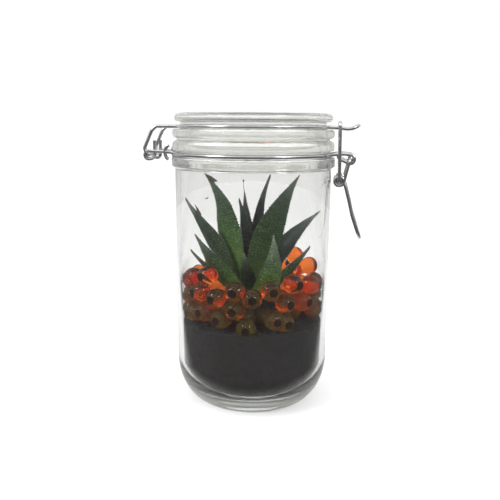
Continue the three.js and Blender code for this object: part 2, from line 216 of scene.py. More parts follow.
# Jar: soda-lime glass 3.4 mm thick with a rounded heel, a push-up under the base, and a neck with a
# bead, a groove for the wire and a fire-polished rim. The neck is a little milky from the mould, as
# the lid is, and the wall and the lid's pane are clear. The speckled milky grey band at the foot is
# painted light, for the floor's light seen through the base.
MM = 0.001
jar_inside = 46.6
glass_sides = 192


def quarter(centre_radius, centre_height, across, down, steps):
    """A quarter of an ellipse from its lowest point to its outermost."""
    return [(centre_radius + across * sin(i / steps * pi / 2),
             centre_height - down * cos(i / steps * pi / 2)) for i in range(steps + 1)]


def bent(corners, radius, closed=False, steps=6, least_turn=2, side_share=0.49):
    """A route of points with its corners bent to about that radius. A corner that turns by less than
    least_turn degrees is left, and a bend takes up no more than side_share of either side."""
    corners = [Vector(c) for c in corners]
    count = len(corners)
    out = []
    for i, here in enumerate(corners):
        if not closed and i in (0, count - 1):
            out.append(here)
            continue
        back, on = corners[i - 1] - here, corners[(i + 1) % count] - here
        turn = pi - back.angle(on)
        if turn < radians(least_turn):
            out.append(here)
            continue
        reach = min(radius * tan(turn / 2), back.length * side_share, on.length * side_share)
        start, end = here + back.normalized() * reach, here + on.normalized() * reach
        for k in range(steps + 1):
            t = k / steps
            out.append(start * (1 - t) ** 2 + here * 2 * t * (1 - t) + end * t * t)
    return out


def eased(profile, radius, steps=4):
    """A turned shape's profile with its sharp corners rounded to that radius."""
    return [tuple(p) for p in bent(profile, radius, steps=steps, least_turn=14, side_share=0.48)]


def turn_rings(name, profile, sides):
    """Rings of (radius, height) about the jar's axis, each extruded from the one before it."""
    radius, height = profile[0]
    bpy.ops.mesh.primitive_circle_add(
        vertices=sides, radius=radius * MM, location=(0, 0, height * MM))
    piece = bpy.context.object
    piece.name = name
    bpy.ops.object.transform_apply(location=True, rotation=False, scale=False)
    bpy.ops.object.mode_set(mode="EDIT")
    bpy.ops.mesh.select_all(action="SELECT")
    for next_radius, next_height in profile[1:]:
        rise = (next_height - height) * MM
        bpy.ops.mesh.extrude_region_move(TRANSFORM_OT_translate={"value": (0, 0, rise)})
        grow = next_radius / radius
        bpy.ops.transform.resize(value=(grow, grow, 1), center_override=(0, 0, next_height * MM))
        radius, height = next_radius, next_height
    bpy.ops.object.mode_set(mode="OBJECT")
    return piece


def pick_rings(piece, *rings):
    """In edit mode, selects the vertices of the rings of (radius, height)."""
    bpy.ops.mesh.select_all(action="DESELECT")
    mesh = bmesh.from_edit_mesh(piece.data)
    for vertex in mesh.verts:
        reach = hypot(vertex.co.x, vertex.co.y)
        vertex.select = any(hypot(reach - r * MM, vertex.co.z - z * MM) < 2e-5 for r, z in rings)
    mesh.select_flush(True)
    bmesh.update_edit_mesh(piece.data)


def outward(piece):
    """In edit mode, merges doubles and turns all faces outwards."""
    bpy.ops.mesh.select_all(action="SELECT")
    bpy.ops.mesh.remove_doubles(threshold=1e-6)
    bpy.ops.mesh.normals_make_consistent(inside=False)
    bpy.ops.object.mode_set(mode="OBJECT")


def close_poles(piece, *rings):
    """Fills each ring to a pole on the axis."""
    bpy.ops.object.mode_set(mode="EDIT")
    for ring in rings:
        pick_rings(piece, ring)
        bpy.ops.mesh.edge_face_add()
        bpy.ops.mesh.poke()
    outward(piece)


def join_rings(piece, first, last):
    """Bridges the first and last ring, which makes the turned shape a closed ring."""
    bpy.ops.object.mode_set(mode="EDIT")
    pick_rings(piece, first, last)
    bpy.ops.mesh.bridge_edge_loops()
    outward(piece)


def smooth(piece, angle=40):
    """Smooth shading, with edges sharper than the angle left crisp."""
    bpy.ops.object.select_all(action="DESELECT")
    piece.select_set(True)
    bpy.context.view_layer.objects.active = piece
    bpy.ops.object.shade_smooth_by_angle(angle=radians(angle))
    piece.select_set(False)


jar_profile = eased([
    (3, 1.6), (22.5, 1.6), (24.5, 0.05),
    *quarter(30, 30, 20, 29.95, 22),
    (50, 154.4), (52.1, 155.8), (52.1, 161.3), (48.6, 161.6), (48.6, 165.2), (51.5, 165.6),
    (51.5, 169.2), (50.8, 170.9), (49, 171.7), (45.4, 171.7), (44, 170.3), (44, 162.5),
    (44.3, 160.5), (45, 158.5), (46, 156.5), (46.5, 155), (jar_inside, 153),
    *reversed(quarter(jar_inside - 18, 30, 18, 22, 18)), (3, 8),
], 1.1)
jar = turn_rings("pressed_jar", jar_profile, glass_sides)
close_poles(jar, jar_profile[0], jar_profile[-1])
smooth(jar, 50)

mottle_group = bpy.data.node_groups.new("soft_mottle", "ShaderNodeTree")
for socket_name, preset in (("Scale", 100.0), ("Detail", 4.0), ("Roughness", 0.55)):
    socket = mottle_group.interface.new_socket(
        socket_name, in_out="INPUT", socket_type="NodeSocketFloat")
    socket.default_value = preset
mottle_group.interface.new_socket("Value", in_out="OUTPUT", socket_type="NodeSocketFloat")
inside_in = mottle_group.nodes.new("NodeGroupInput")
inside_out = mottle_group.nodes.new("NodeGroupOutput")
inside_noise = mottle_group.nodes.new("ShaderNodeTexNoise")
wire_up(mottle_group,
        (mottle_group.nodes.new("ShaderNodeTexCoord").outputs["Object"], inside_noise.inputs["Vector"]),
        (inside_in.outputs["Scale"], inside_noise.inputs["Scale"]),
        (inside_in.outputs["Detail"], inside_noise.inputs["Detail"]),
        (inside_in.outputs["Roughness"], inside_noise.inputs["Roughness"]),
        (inside_noise.outputs["Fac"], inside_out.inputs["Value"]))


def mottle(tree, scale, detail=4.0, roughness=0.55):
    """Soft noise over the piece, from the shared group with this material's own values."""
    node = tree.nodes.new("ShaderNodeGroup")
    node.node_tree = mottle_group
    node.inputs["Scale"].default_value = scale
    node.inputs["Detail"].default_value = detail
    node.inputs["Roughness"].default_value = roughness
    return node.outputs["Value"]


def relief(tree, height, distance, shader, strength=1.0):
    """Feeds a height pattern to a shader's normal."""
    node = tree.nodes.new("ShaderNodeBump")
    node.inputs["Distance"].default_value = distance
    node.inputs["Strength"].default_value = strength
    wire_up(tree, (height, node.inputs["Height"]), (node.outputs["Normal"], shader.inputs["Normal"]))


def varied(tree, pattern, low, high):
    """A colour or a grey that wanders between two over a pattern."""
    return ramp(tree, pattern, (0.3, low), (0.7, high))


def height_on(tree):
    """The height above the floor, in units of 0.2 m, so that a ramp reads it from 0 to 1."""
    parts = tree.nodes.new("ShaderNodeSeparateXYZ")
    wire_up(tree, (tree.nodes.new("ShaderNodeTexCoord").outputs["Object"], parts.inputs[0]))
    return maths(tree, "MULTIPLY", parts.outputs["Z"], 5)


def reach_on(tree):
    """The distance from the jar's axis, in units of 0.05 m."""
    flat = tree.nodes.new("ShaderNodeVectorMath")
    flat.operation = "MULTIPLY"
    flat.inputs[1].default_value = (1, 1, 0)
    reach = tree.nodes.new("ShaderNodeVectorMath")
    reach.operation = "LENGTH"
    wire_up(tree, (tree.nodes.new("ShaderNodeTexCoord").outputs["Object"], flat.inputs[0]),
            (flat.outputs[0], reach.inputs[0]))
    return maths(tree, "MULTIPLY", reach.outputs["Value"], 20)


clear_glass, tree, output = blank_material("clear_glass")
shader = principled(tree, None, Transmission_Weight=1.0, IOR=1.5)
glass_height = height_on(tree)
pressed_softness = ramp(tree, glass_height, (0.76, grey(0.0)), (0.81, grey(0.06)), (0.9, grey(0.09)))
faint_smears = ramp(tree, mottle(tree, 55, 6, 0.7), (0.5, grey(0.0)), (0.8, grey(0.02)))
glass_tint = ramp(tree, mottle(tree, 30, 3), (0.35, (0.92, 0.923, 0.912)), (0.7, (0.94, 0.943, 0.932)))
wire_up(tree, (glass_tint, shader.inputs["Base Color"]),
        (maths(tree, "ADD", faint_smears, pressed_softness), shader.inputs["Roughness"]))
relief(tree, mottle(tree, 38, 2), 0.0003, shader, 0.15)
# The milky share is the mould's milkiness at the neck and the lid, and painted light at the foot: there
# the speckled milky grey band stands in for the floor's light seen through the base.
milkiness_and_foot_light = ramp(tree, glass_height, (0.02, grey(0.3)), (0.05, grey(0.16)), (0.09, grey(0.0)),
                 (0.775, grey(0.0)), (0.785, grey(0.13)), (0.82, grey(0.24)), (0.9, grey(0.27)))
mould_and_foot_light_speckle = ramp(tree, mottle(tree, 900, 5, 0.7), (0.4, grey(0.6)), (0.6, grey(1.0)))
milkiness_and_foot_light = blend(tree, 1.0, milkiness_and_foot_light, mould_and_foot_light_speckle, "MULTIPLY")
outside_pane = ramp(tree, reach_on(tree), (0.74, grey(0.1)), (0.82, grey(1.0)))
below_lid = ramp(tree, glass_height, (0.1, grey(1.0)), (0.12, grey(0.0)))
milkiness_and_foot_light = blend(tree, 1.0, milkiness_and_foot_light, maths(tree, "MAXIMUM", outside_pane, below_lid), "MULTIPLY")
milk_and_foot_light = tree.nodes.new("ShaderNodeBsdfDiffuse")
wire_up(tree, (varied(tree, mottle(tree, 120, 4), (0.56, 0.56, 0.53), (0.68, 0.68, 0.64)),
               milk_and_foot_light.inputs["Color"]))
milk_and_foot_light_mix = tree.nodes.new("ShaderNodeMixShader")
passing = tree.nodes.new("ShaderNodeBsdfTransparent")
passing.inputs["Color"].default_value = (0.9, 0.91, 0.9, 1)
ray = tree.nodes.new("ShaderNodeLightPath")
through = maths(tree, "MAXIMUM", ray.outputs["Is Shadow Ray"], ray.outputs["Is Diffuse Ray"])
choice = tree.nodes.new("ShaderNodeMixShader")
wire_up(tree, (milkiness_and_foot_light, milk_and_foot_light_mix.inputs["Fac"]), (shader.outputs[0], milk_and_foot_light_mix.inputs[1]),
        (milk_and_foot_light.outputs[0], milk_and_foot_light_mix.inputs[2]),
        (through, choice.inputs["Fac"]), (milk_and_foot_light_mix.outputs[0], choice.inputs[1]),
        (passing.outputs[0], choice.inputs[2]), (choice.outputs[0], output.inputs["Surface"]))
jar.data.materials.append(clear_glass)
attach(jar, "jar")
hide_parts("jar_glass")


# Neck wire: bright steel wire 2.2 mm thick, drawn tight in the groove. Its ends make the ears of
# the clasp lever, the hooks of the hinge and the upright bends by the neck.
wire_radius = 1.1
neck_wire_height = 163.2
neck_wire_ring = 50.0


def arc(centre_x, y, centre_z, radius, first, last, step=12):
    """Points of a bend in the X-Z plane."""
    count = ceil(abs(last - first) / step)
    return [Vector((centre_x + radius * cos(radians(first + (last - first) * i / count)), y,
                    centre_z + radius * sin(radians(first + (last - first) * i / count))))
            for i in range(count + 1)]


def strand(name, routes, half=wire_radius, roundness=5, crisp=50):
    """One piece of round wire or the like for routes of (points, closed). Where a point has a fourth
    number, it is thicker or thinner there by that factor."""
    curve = bpy.data.curves.new(name, "CURVE")
    curve.dimensions = "3D"
    curve.bevel_depth = half * MM
    curve.bevel_resolution = roundness
    curve.use_fill_caps = True
    for points, closed in routes:
        spline = curve.splines.new("POLY")
        spline.points.add(len(points) - 1)
        for target, (x, y, z, *swell) in zip(spline.points, points):
            target.co = (*(Vector((x, y, z)) * MM), 1)
            target.radius = swell[0] if swell else 1.0
        spline.use_cyclic_u = closed
    piece = bpy.data.objects.new(name, curve)
    bpy.context.collection.objects.link(piece)
    bpy.ops.object.select_all(action="DESELECT")
    bpy.context.view_layer.objects.active = piece
    piece.select_set(True)
    bpy.ops.object.convert(target="MESH")
    piece = bpy.context.object
    bpy.ops.object.mode_set(mode="EDIT")
    outward(piece)
    smooth(piece, crisp)
    return piece


def ring_route(radius, height, count=160):
    """A circle of points about the jar's axis."""
    return [(radius * cos(2 * pi * i / count), radius * sin(2 * pi * i / count), height)
            for i in range(count)]


neck_routes = [(ring_route(neck_wire_ring, neck_wire_height), True)]
for side in (-1, 1):
    ear_y = 8.4 * side
    neck_routes.append((bent([
        (sqrt(neck_wire_ring ** 2 - ear_y ** 2), ear_y, neck_wire_height),
        (53, ear_y, 163.8), (57.5, ear_y, 164.0),
        *arc(61.2, ear_y, 160.9, 2.75, 90, -90),
        (56.6, ear_y, 160.2), (53.6, ear_y, 162.4),
    ], 1.5), False))
    hook_y, prong_y = 9.0 * side, 6.5 * side
    neck_routes.append((bent([
        (-sqrt(neck_wire_ring ** 2 - hook_y ** 2), hook_y, neck_wire_height),
        (-55, hook_y, 164.1),
        *arc(-66.75, hook_y, 161.8, 2.5, 90, 270),
        (-64.85, hook_y - side * 0.9, 159.5), (-63.6, prong_y, 161.2), (-63.4, prong_y, 163.0),
        (-63.4, prong_y, 171),
    ], 2.0), False))
    neck_routes.append((bent([
        (-53.4, hook_y, 168.2), (-55.1, hook_y, 167), (-55.9, hook_y, 164.6),
        (-55.7, hook_y, 162), (-54.8, hook_y, 160), (-53.6, hook_y, 159.4),
    ], 4.0), False))
neck_wire = strand("bent_neck_wire", neck_routes)

steel_wire, tree, output = blank_material("steel_wire")
shader = principled(tree, output, Metallic=1.0)
wire_up(tree, (ramp(tree, mottle(tree, 300, 5, 0.6), (0.3, grey(0.46)), (0.55, grey(0.56)),
                    (0.75, (0.63, 0.64, 0.65))), shader.inputs["Base Color"]),
        (varied(tree, mottle(tree, 700, 4, 0.6), grey(0.17), grey(0.25)), shader.inputs["Roughness"]))
relief(tree, mottle(tree, 500, 3, 0.6), 0.00001, shader, 0.1)
neck_wire.data.materials.append(steel_wire)
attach(neck_wire, "jar")
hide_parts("neck_wire")


# Lid: pressed glass with a hollow below, a plug that centres it in the mouth, a groove for its
# wire, and a knurled ring of small bumps round the dished top.
lid_sides = 504
knurl_count = 126
knurl_radius = 46.4
knurl_height = 0.35
knurl_half_width = 0.5
knurl_floor = 187.5
lid_profile = eased([
    (3, 181.5), (38, 181.5), (40, 179.5), (40, 169.9), (40.8, 169.3), (41.7, 169.3), (42.5, 170.1),
    (42.5, 173.1), (50.3, 173.1), (51.3, 174.1), (51.3, 177.5), (50.3, 178.4), (46.2, 178.6),
    (46.2, 183.1), (48.9, 183.3), (50, 184.6), (50, 186.3), (48.6, 187.9), (47.3, 187.95),
    (46.4, 187.95), (45.5, 187.95), (44.5, 187.9), (42.5, 187.0), (3, 187.0),
], 1.0, 3)
lid = turn_rings("pressed_lid", lid_profile, lid_sides)
close_poles(lid, lid_profile[0], lid_profile[-1])
for vertex in lid.data.vertices:
    reach = hypot(vertex.co.x, vertex.co.y) / MM
    if vertex.co.z > knurl_floor * MM and abs(reach - knurl_radius) < knurl_half_width:
        turn = atan2(vertex.co.y, vertex.co.x)
        vertex.co.z += knurl_height * MM * max(0.0, cos(turn * knurl_count)) ** 1.5
smooth(lid, 50)
lid.data.materials.append(clear_glass)
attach(lid, "lid")
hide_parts("lid_glass")


# Sealing ring: a flat ring moulded from translucent silicone. It sits round the lid's plug, and the
# closed clasp presses it between the lid's flange and the rim.
gasket_profile = eased([
    (43.2, 172.5), (43.5, 172.05), (48.6, 172.05), (49, 172.5), (48.6, 173.05), (43.5, 173.05),
    (43.2, 172.6),
], 0.3, 3)
gasket = turn_rings("sealing_ring", gasket_profile, 128)
join_rings(gasket, gasket_profile[0], gasket_profile[-1])
smooth(gasket)
pale_rubber, tree, output = blank_material("pale_rubber")
shader = principled(tree, output, Transmission_Weight=0.6, IOR=1.41)
wire_up(tree, (varied(tree, mottle(tree, 300, 4), (0.78, 0.78, 0.72), (0.88, 0.88, 0.84)),
               shader.inputs["Base Color"]),
        (varied(tree, mottle(tree, 700, 3), grey(0.35), grey(0.55)), shader.inputs["Roughness"]))
gasket.data.materials.append(pale_rubber)
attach(gasket, "lid")
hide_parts("lid_gasket")


# Lid wire: the same steel wire in the lid's groove, bent into two hinge arms with their crossbar
# at the back and into the U-shaped hook that the clasp pulls on.
def round_end(shape, tip, spread, step=15):
    """The round end of a loop, from the arm at -Y to the arm at +Y."""
    start_x, start_z = shape[-1]
    return [(start_x + (tip[0] - start_x) * cos(radians(a)), spread * sin(radians(a)),
             start_z + (tip[1] - start_z) * cos(radians(a))) for a in range(-75, 76, step)]


hook_shape = [(47, 180), (51.5, 179.9), (55, 179.6), (59.5, 179.1), (62, 179.4)]
arm_shape = [(-45.6, 180), (-60.6, 180), (-63.4, 177.4), (-68.5, 166.2), (-66.85, 161.8)]
lid_routes = [
    (ring_route(47.6, 180), True),
    (bent([(x, -12, z) for x, z in arm_shape] + [(x, 12, z) for x, z in reversed(arm_shape)], 3.0),
     False),
    (bent([(x, -5.5, z) for x, z in hook_shape] + round_end(hook_shape, (66, 181.2), 5.5)
          + [(x, 5.5, z) for x, z in reversed(hook_shape)], 6.0, steps=4), False),
]
lid_wire = strand("bent_lid_wire", lid_routes)
lid_wire.data.materials.append(steel_wire)
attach(lid_wire, "lid")
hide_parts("lid_wire")


# Clasp: a lever bent from one wire, with an eye on each side and a U-shaped handle, and a closed
# link that turns in the eyes and lies over the lid wire's hook.
pivot = (61.2, 160.9)
eye = (55.2, 147.5)
lever_y = 11.0
handle_shape = [(57.9, 147), (59.2, 144.2), (62.2, 133.2), (63.7, 126.8), (66, 120.2)]
lever_arms = {
    side: bent([(pivot[0], side * 6.4, pivot[1]), (pivot[0], side * lever_y, pivot[1])]
               + [(x, side * lever_y, z) for x, z in handle_shape], 2.4)
    for side in (-1, 1)
}
lever_routes = [(lever_arms[-1] + [Vector(p) for p in round_end(handle_shape, (69.3, 111), lever_y)]
                 + lever_arms[1][::-1], False)]
for side in (-1, 1):
    lever_routes.append((arc(eye[0], side * lever_y, eye[1], 2.7, 0, 360)[:-1], True))
lever = strand("bent_clasp_lever", lever_routes)
lever.data.materials.append(steel_wire)
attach(lever, "lever")
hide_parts("clasp_lever")

link_y = 13.6
link = strand("bent_clasp_link", [(bent([
    (eye[0], -link_y, eye[1]), (eye[0], link_y, eye[1]), (54.6, link_y, 182.9), (54.6, -link_y, 182.9),
], 2.4, closed=True), True)])
link.data.materials.append(steel_wire)
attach(link, "link")
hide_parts("clasp_link")


# Soil: dark potting mix pressed damp into the jar, level at the wall and heaped round the plant. Its
# surface is crumbled, it is smoother where it lies on the glass, and a little dust lies at its foot.
soil_wall = 46.25
stem_hole_radius = 7
stem_hole_floor = 52
soil_brim = 54
crumble_scale = 420
crumble_depth = 0.55
crumble_swing = 1.1
crumble_most = 1.6
soil_profile = eased([
    (3, 8.35), *quarter(soil_wall - 18, 30, 18, 21.65, 18),
    *[(soil_wall, height) for height in (34, 38, 42, 46, 50, 53, 56.6)],
    (44.5, 57), (42, 57.1), (39, 57.2), (36, 57.3), (33, 57.4), (30, 57.7), (27, 58), (24, 60.5),
    (20, 64.2), (16, 65.9), (12, 67.2), (9, 67.7), (6.3, 67.8), (6.3, 53), (3, 53),
], 0.6, 2)
soil = turn_rings("potting_soil", soil_profile, 224)
close_poles(soil, soil_profile[0], soil_profile[-1])
soil_mesh = soil.data
crumble = [noise.fractal(v.co * crumble_scale, 0.9, 2.1, 4) for v in soil_mesh.vertices]
soil_normals = [v.normal.copy() for v in soil_mesh.vertices]
for vertex, rough, normal in zip(soil_mesh.vertices, crumble, soil_normals):
    reach = hypot(vertex.co.x, vertex.co.y) / MM
    if vertex.co.z > stem_hole_floor * MM and reach < stem_hole_radius:
        continue
    at_top = min(1.0, max(0.0, (vertex.co.z / MM - soil_brim) / 3))
    deep = 0.25 + 0.75 * at_top
    bite = min(crumble_most, max(0.0, crumble_depth + crumble_swing * rough))
    vertex.co -= normal * MM * deep * bite
smooth(soil, 60)
potting_soil, tree, output = blank_material("potting_soil")
shader = principled(tree, output, Roughness=0.92)
fine_soil = mottle(tree, 900, 8, 0.75)
broad_soil = mottle(tree, 60, 4, 0.6)
grain = tree.nodes.new("ShaderNodeTexVoronoi")
grain.inputs["Scale"].default_value = 520
wire_up(tree, (tree.nodes.new("ShaderNodeTexCoord").outputs["Object"], grain.inputs["Vector"]))
damp_tone = varied(tree, broad_soil, (0.0105, 0.0078, 0.0082), (0.0155, 0.0122, 0.0127))
fine_tone = ramp(tree, fine_soil, (0.35, grey(0.5)), (0.6, grey(1.0)), (0.78, (1.9, 1.75, 1.6)))
dust_tone = ramp(tree, fine_soil, (0.35, (0.13, 0.125, 0.12)), (0.7, (0.26, 0.25, 0.24)))
dusty_foot = ramp(tree, height_on(tree), (0.05, grey(1.0)), (0.0675, grey(0.0)))
soil_tone = blend(tree, dusty_foot, blend(tree, 0.8, damp_tone, fine_tone, "MULTIPLY"), dust_tone)
wire_up(tree, (soil_tone, shader.inputs["Base Color"]))
relief(tree, grain.outputs["Distance"], 0.0006, shader, 0.6)
soil.data.materials.append(potting_soil)
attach(soil, "jar")
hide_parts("soil")


# Gel beads: water-swollen polymer balls about 12 mm across. The outer ones press on the glass,
# where a film of water joins them to it; its round patch is a near-black disc of painted shade, for
# the shaded inside of the jar seen through the film. The lowest are muddied.
chance = random.Random(7)
bead_ring = 40.3
bead_size = 6.1
bead_rows = [63.6, 73.6, 83.6]
beads_in_row = 22
inner_ring = 29
inner_beads = 15
nearest_centres = 10.2
settling_rounds = 160
soft_contact = 0.97
sink_per_round = 0.05
bead_floor = 57.2
bead_clearance = 0.15
flattened_at = 0.2
film_range = 0.9
film_inset = 0.22
film_size = (0.14, 2.5, 2.5, 1)


def seen_from_front(x, y, z):
    """A place given as seen from the front, turned into the jar's own frame."""
    a = camera_azimuth
    return Vector((x * cos(a) - y * sin(a), x * sin(a) + y * cos(a), z))


front_beads = [seen_from_front(*p) for p in [
    (0, -46.6, 78.5), (-4, -46, 59.2), (-12, -45, 70.8), (-21.8, -41.2, 64), (-33, -33, 66.5),
    (-31, -35, 90.3), (-36.5, -29, 78.5), (-25, -39.4, 77), (-42, -20, 86.5), (-11.7, -45, 82.4),
    (12.6, -44.8, 83), (28.3, -37, 85.8), (41.5, -21, 82), (22.8, -40.6, 74.3), (34.6, -31, 73.3),
    (42, -20, 69.3), (15.2, -44, 64.3), (22.2, -41, 61.9),
]]
heaped_beads = [seen_from_front(*p) for p in [
    (29.1, 14, 95.6), (38.6, 7, 89.6), (33.4, 20, 86.4), (27.6, 6, 85.4),
]]
beads = []
for spot in front_beads:
    beads.append([Vector((spot.x, spot.y, 0)).normalized() * bead_ring + Vector((0, 0, spot.z)),
                  bead_size, True])
for spot in heaped_beads:
    beads.append([spot, bead_size, True])
for row, height in enumerate(bead_rows):
    for i in range(beads_in_row):
        turn = (i + row / 2) * 2 * pi / beads_in_row
        place = Vector((bead_ring * cos(turn), bead_ring * sin(turn), height))
        if all((place - other[0]).length > nearest_centres for other in beads):
            beads.append([place, bead_size + chance.uniform(-0.4, 0.2), False])
for i in range(inner_beads):
    turn = i / inner_beads * 2 * pi + 0.1
    beads.append([Vector((inner_ring * cos(turn), inner_ring * sin(turn), 65)),
                  bead_size + chance.uniform(-0.5, 0.0), False])
for _ in range(settling_rounds):
    for a in range(len(beads)):
        for b in range(a + 1, len(beads)):
            apart = beads[b][0] - beads[a][0]
            short = (beads[a][1] + beads[b][1]) * soft_contact - apart.length
            if short <= 0:
                continue
            push = apart.normalized() * short * 0.5
            if not beads[a][2]:
                beads[a][0] -= push * (2 if beads[b][2] else 1)
            if not beads[b][2]:
                beads[b][0] += push * (2 if beads[a][2] else 1)
    for bead in beads:
        if bead[2]:
            continue
        place, size = bead[0], bead[1]
        reach = hypot(place.x, place.y)
        limit = jar_inside - bead_clearance - size
        if reach > limit:
            place.x *= limit / reach
            place.y *= limit / reach
        place.z = max(place.z - sink_per_round, bead_floor + size)

bpy.ops.mesh.primitive_uv_sphere_add(segments=32, ring_count=20, radius=MM)
ball = bpy.context.object
ball_mesh = ball.data
ball_mesh.shade_smooth()


def scatter(name, template, spots):
    """One piece from copies of the template mesh, each moved by its own matrix."""
    mesh = bmesh.new()
    for spot in spots:
        copy = template.copy()
        copy.transform(spot)
        mesh.from_mesh(copy)
        bpy.data.meshes.remove(copy)
    whole = bpy.data.meshes.new(name)
    mesh.to_mesh(whole)
    mesh.free()
    piece = bpy.data.objects.new(name, whole)
    bpy.context.collection.objects.link(piece)
    return piece


gel_beads = scatter("gel_beads", ball_mesh, [
    Matrix.Translation(place * MM) @ Matrix.Diagonal((size, size, size, 1))
    for place, size, _ in beads])
for vertex in gel_beads.data.vertices:
    reach = hypot(vertex.co.x, vertex.co.y)
    limit = (jar_inside - flattened_at) * MM
    if reach > limit:
        vertex.co.x *= limit / reach
        vertex.co.y *= limit / reach
gel, tree, output = blank_material("orange_gel")
shader = principled(tree, None, Transmission_Weight=1.0, IOR=1.34, Roughness=0.0)
wire_up(tree, (varied(tree, mottle(tree, 90, 2), (1.0, 0.18, 0.02), (1.0, 0.25, 0.05)),
               shader.inputs["Base Color"]))
cloudy = tree.nodes.new("ShaderNodeBsdfDiffuse")
wire_up(tree, (varied(tree, mottle(tree, 140, 3), (0.085, 0.072, 0.018), (0.14, 0.12, 0.032)),
               cloudy.inputs["Color"]))
cloud_mix = tree.nodes.new("ShaderNodeMixShader")
muddy_height = maths(tree, "MULTIPLY_ADD", mottle(tree, 60, 2), 0.14, height_on(tree))
muddy_foot = ramp(tree, muddy_height, (0.37, grey(0.42)), (0.44, grey(0.24)), (0.52, grey(0.1)))
wire_up(tree, (muddy_foot, cloud_mix.inputs["Fac"]),
        (shader.outputs[0], cloud_mix.inputs[1]), (cloudy.outputs[0], cloud_mix.inputs[2]),
        (cloud_mix.outputs[0], output.inputs["Surface"]))
gel_beads.data.materials.append(gel)
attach(gel_beads, "jar")
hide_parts("bead_bed")

film_spots = []
for place, size, _ in beads:
    reach = hypot(place.x, place.y)
    if reach + size < jar_inside - film_range:
        continue
    turn = atan2(place.y, place.x)
    film_reach = jar_inside - film_inset
    film_spots.append(
        Matrix.Translation(Vector((film_reach * cos(turn), film_reach * sin(turn), place.z)) * MM)
        @ Matrix.Rotation(turn, 4, "Z") @ Matrix.Diagonal(film_size))
films = scatter("bead_contact_films", ball_mesh, film_spots)
bpy.data.objects.remove(ball)
# Painted shade: the films are nearly black, for the shaded inside of the jar seen through the water.
painted_shade_film, tree, output = blank_material("painted_shade_contact_film")
shader = principled(tree, output, IOR=1.36, Roughness=0.3, Specular_IOR_Level=0.08)
wire_up(tree, (varied(tree, mottle(tree, 400, 3), (0.006, 0.004, 0.002), (0.022, 0.007, 0.003)),
               shader.inputs["Base Color"]))
films.data.materials.append(painted_shade_film)
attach(films, "jar")


# Rosette: a short pale stem with sixteen stiff tapering leaves. Each leaf has a keeled back with
# cross rows of pale tubercles, finely toothed margins, and a dry point.
tiers = [(70.4, 6.5), (73.2, 5.2), (76.6, 3.9), (79.6, 2.6)]
stem_profile = eased([
    (2, 53.5), (5.9, 53.5), (5.9, 68.2), (5.9, 71.4), (5.9, 72.0), (5.1, 74.0), (5.0, 74.6),
    (3.8, 77.4), (3.7, 77.8), (2.5, 80.4), (1.6, 81.9), (1, 82),
], 0.5, 2)
stem = turn_rings("rosette_stem", stem_profile, 40)
close_poles(stem, stem_profile[0], stem_profile[-1])
smooth(stem)
pale_stem, tree, output = blank_material("pale_stem")
shader = principled(tree, output, Roughness=0.6)
wire_up(tree, (varied(tree, mottle(tree, 400, 5), (0.14, 0.15, 0.06), (0.32, 0.33, 0.16)),
               shader.inputs["Base Color"]))
stem.data.materials.append(pale_stem)
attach(stem, "jar")
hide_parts("haworthia_stem")

# One leaf a line: tier, azimuth, reach and height of its tip, width, taper, bow, twist, outward bend
# of its upper part, and how green it is.
leaves = [
    (0, 359.7, 37.6, 105.6, 7.2, 1.6, 0.038, -37, 0, 0.35),
    (1, 267, 28, 105, 5.6, 1.6, 0.004, 0, 0, 0.15),
    (0, 228.2, 44.9, 116.3, 8.6, 1.6, 0.037, 35, 0, 0.65),
    (0, 145, 37.9, 96.2, 3.7, 1.6, 0.085, 0, 0, 0.45),
    (0, 51.5, 35.7, 105.1, 6.2, 1.6, 0.057, -2, 0, 0.2),
    (0, 303.1, 29.5, 116, 9.8, 1.4, 0.2, 0, 0, 1),
    (0, 108.3, 40.4, 102.9, 5.9, 1.6, 0.09, 8, 0, 0.2),
    (0, 179.2, 42.6, 100.6, 5, 1.6, 0.039, 42, 0, 0.5),
    (1, 84.8, 25.3, 122.4, 7, 1.6, 0.042, 1, 0, 0.2),
    (1, 10.6, 45.4, 128.1, 10, 1.6, -0.08, 47, 0, 0.05),
    (2, 323.8, 38.4, 152.6, 12.3, 1.5, -0.069, -32, 0, 0.3),
    (1, 180.6, 46.1, 136.2, 15.5, 1.6, -0.001, 45, 0, 0.2),
    (2, 115.7, 19.2, 139.6, 7.6, 1.6, 0.005, 1, 0, 0.1),
    (2, 193.3, 21.6, 153.5, 10.8, 1.3, 0.042, 51, 10, 0.65),
    (3, 47.2, 12.5, 152.5, 8.1, 1.6, -0.042, 0, 2.5, 0.1),
    (3, 237.8, 13.4, 137.4, 8.2, 1.6, -0.035, 1, 0, 0),
]
around = 36
row_step = 0.45
band_spacing = 1.9
band_height = 0.18
tooth_length = 1.8
leaf_thickness = 3.0
leaf_thinning = 0.62
leaf_thinnest = 0.6
leaf_hollow = 0.16
leaf_root_share = 0.35
leaf_swell = 3.2
leaf_tip_half = 0.3
back_shift = 3.0
kink_start = 0.7
kink_ease = 1.6


def leaf_place(k):
    """From the left margin (-1) to the right one (1) and whether the point lies on the back."""
    if k <= around // 2:
        return -1 + 2 * k / (around // 2), False
    return 1 - 2 * (k - around // 2) / (around // 2), True


def leaf_section(half, thick, fold, bands, teeth):
    """Points across a leaf: (across, lift) round its closed section, from the left margin over the
    hollow face to the right margin and back round the keel."""
    points = []
    for k in range(around):
        s, on_back = leaf_place(k)
        if on_back:
            lift = fold * abs(s) ** 3 - thick * (1 - abs(s) ** 1.9) - bands * (1 - s ** 6)
        else:
            lift = fold * (1.4 * abs(s) ** 1.6 - 0.4)
        edge = max(0.0, abs(s) - 0.8) / 0.2
        points.append((s * half + (teeth * edge if s > 0 else -teeth * edge), lift))
    return points


